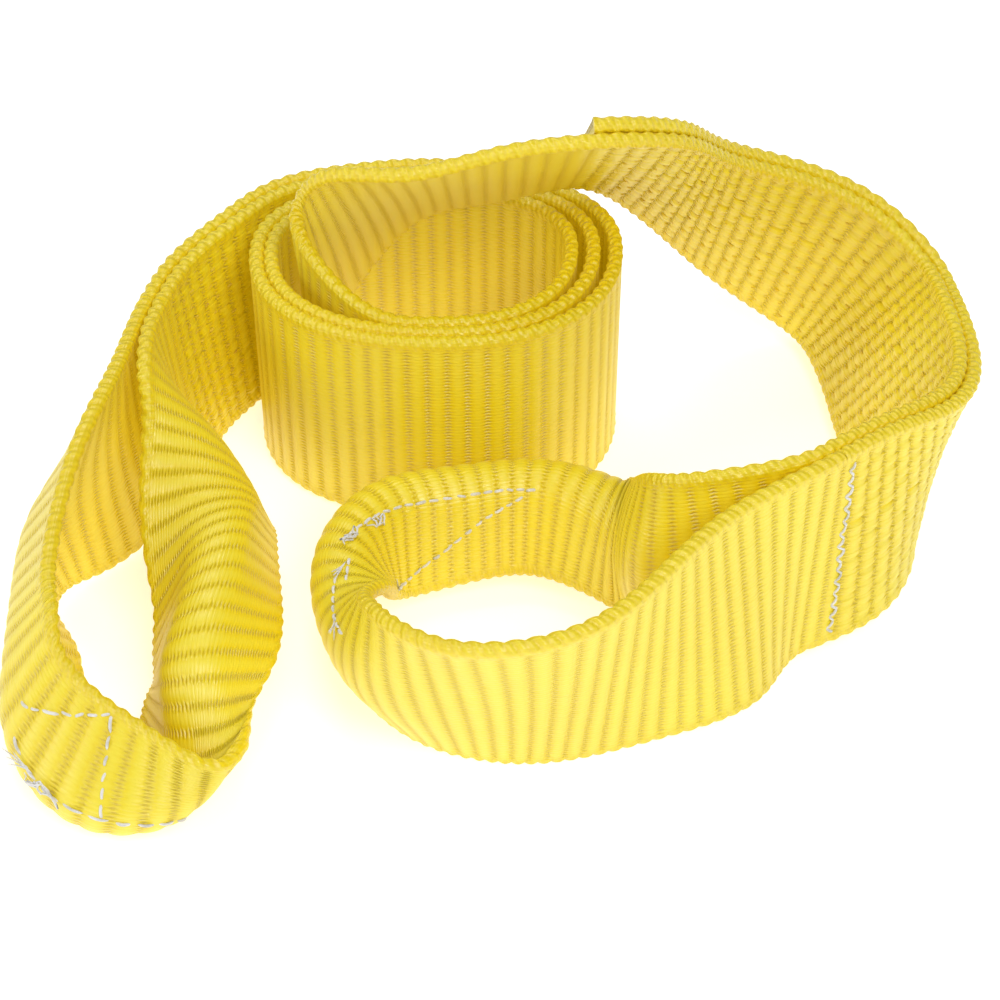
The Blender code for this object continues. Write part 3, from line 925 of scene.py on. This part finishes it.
def make_tip_stitches(side, route, rows, face, tangles, loose_ends, white):
    """White stitches that hold the folded tip, with the thread left at the ends of their rows."""
    rng = np.random.default_rng(TIP_SEED)
    tubes = Tubes()
    for row in rows:
        add_row(tubes, route, [(distance * MM, cut) for distance, cut in row], face, rng)
    for distance, cut, loops in tangles:
        add_tangle(tubes, route, (distance * MM, cut), face, loops, rng)
    for distance, cut in loose_ends:
        add_loose_end(tubes, route, (distance * MM, cut), face, rng)
    put(tubes.finish(side + "_tip_stitches"), white, "white_thread", side + "_eye", side + "_tip_stitching")


def make_webbing(band, left_eye, right_eye):
    """Every stretch of the one band. Its ribs run on from each stretch into the next."""
    webbing = webbing_material()
    length = band.knots[-1]
    make_main_band(band, webbing)
    right_shift = length - right_eye.knots[2]
    make_eye("right", right_eye, right_shift, webbing)
    right_lap_shift = -length - (right_eye.knots[-3] + right_shift)
    make_lap("right", band, length - RIGHT_LAP, length - JOIN, right_lap_shift, webbing)
    left_shift = -RIB / 2 - left_eye.knots[2]
    make_eye("left", left_eye, left_shift, webbing)
    left_lap_shift = left_eye.knots[-3] + left_shift + RIB / 2
    make_lap("left", band, JOIN, LEFT_LAP, left_lap_shift, webbing)


def make_sewing(band, left_eye, right_eye):
    """The threads at both throats, on both laps and at both tips."""
    white = thread_material("white_sewing_thread", *WHITE_THREAD)
    yellow = thread_material("yellow_sewing_thread", *YELLOW_THREAD)
    length = band.knots[-1]
    make_throat_seam("left", band, SEAM_INSET, white)
    make_throat_seam("right", band, length - SEAM_INSET, white)
    make_lap_stitches("left", band, LAP_INSET, LEFT_SEWING_END, yellow)
    make_lap_stitches("right", band, length - RIGHT_LAP + LAP_INSET, length - LAP_INSET, yellow)
    make_tip_stitches("left", left_eye, LEFT_TIP_ROWS, -1, LEFT_TANGLES, LEFT_LOOSE_ENDS, white)
    make_tip_stitches("right", right_eye, RIGHT_TIP_ROWS, 1, RIGHT_TANGLES, RIGHT_LOOSE_ENDS, white)


# ---------------------------------------------------------------- the studio
def make_floor():
    """A square floor just under the sling."""
    mesh = bpy.data.meshes.new("studio_floor")
    ways = ((-1, -1), (1, -1), (1, 1), (-1, 1))
    corners = [(x * FLOOR_HALF, y * FLOOR_HALF, FLOOR_HEIGHT) for x, y in ways]
    mesh.from_pydata(corners, [], [(0, 1, 2, 3)])
    mesh.materials.append(floor_material())
    add_object("studio_floor", mesh)


def make_light(name, place, size, power):
    """A square lamp of the given size that faces the sling."""
    data = bpy.data.lights.new(name, "AREA")
    data.size = size
    data.energy = power
    light = add_object(name, data)
    light.location = place
    light.rotation_euler = (Vector(LIGHT_TARGET) - Vector(place)).to_track_quat("-Z", "Y").to_euler()


def make_world():
    """Even white light from all around, shown without a film look."""
    world = bpy.data.worlds.new("studio")
    world.use_nodes = True
    background = world.node_tree.nodes["Background"]
    background.inputs["Color"].default_value = (1, 1, 1, 1)
    background.inputs["Strength"].default_value = WORLD_GLOW
    bpy.context.scene.world = world
    bpy.context.scene.view_settings.view_transform = "Standard"


def make_camera():
    """The photo's own view: from the front, looking down at the sling."""
    data = bpy.data.cameras.new("camera")
    data.lens = CAMERA_LENS
    data.sensor_width = CAMERA_SENSOR
    data.clip_start = CAMERA_NEAR
    camera = add_object("camera", data)
    camera.location = [(place + shift) * MM for place, shift in zip(CAMERA_PLACE, CENTRING)]
    camera.rotation_euler = (math.radians(90 - CAMERA_TILT), 0, 0)
    bpy.context.scene.camera = camera


main_route = Route(stations_in_metres(LEFT_ARM + roll_stations() + RIGHT_ARM))
left_route = eye_route(main_route, 0, 1, LEFT_EYE)
right_route = eye_route(main_route, main_route.knots[-1], -1, RIGHT_EYE)
make_webbing(main_route, left_route, right_route)
make_sewing(main_route, left_route, right_route)
make_floor()
make_world()
for lamp, (lamp_place, lamp_size, lamp_power) in LIGHTS.items():
    make_light(lamp, lamp_place, lamp_size, lamp_power)
make_camera()
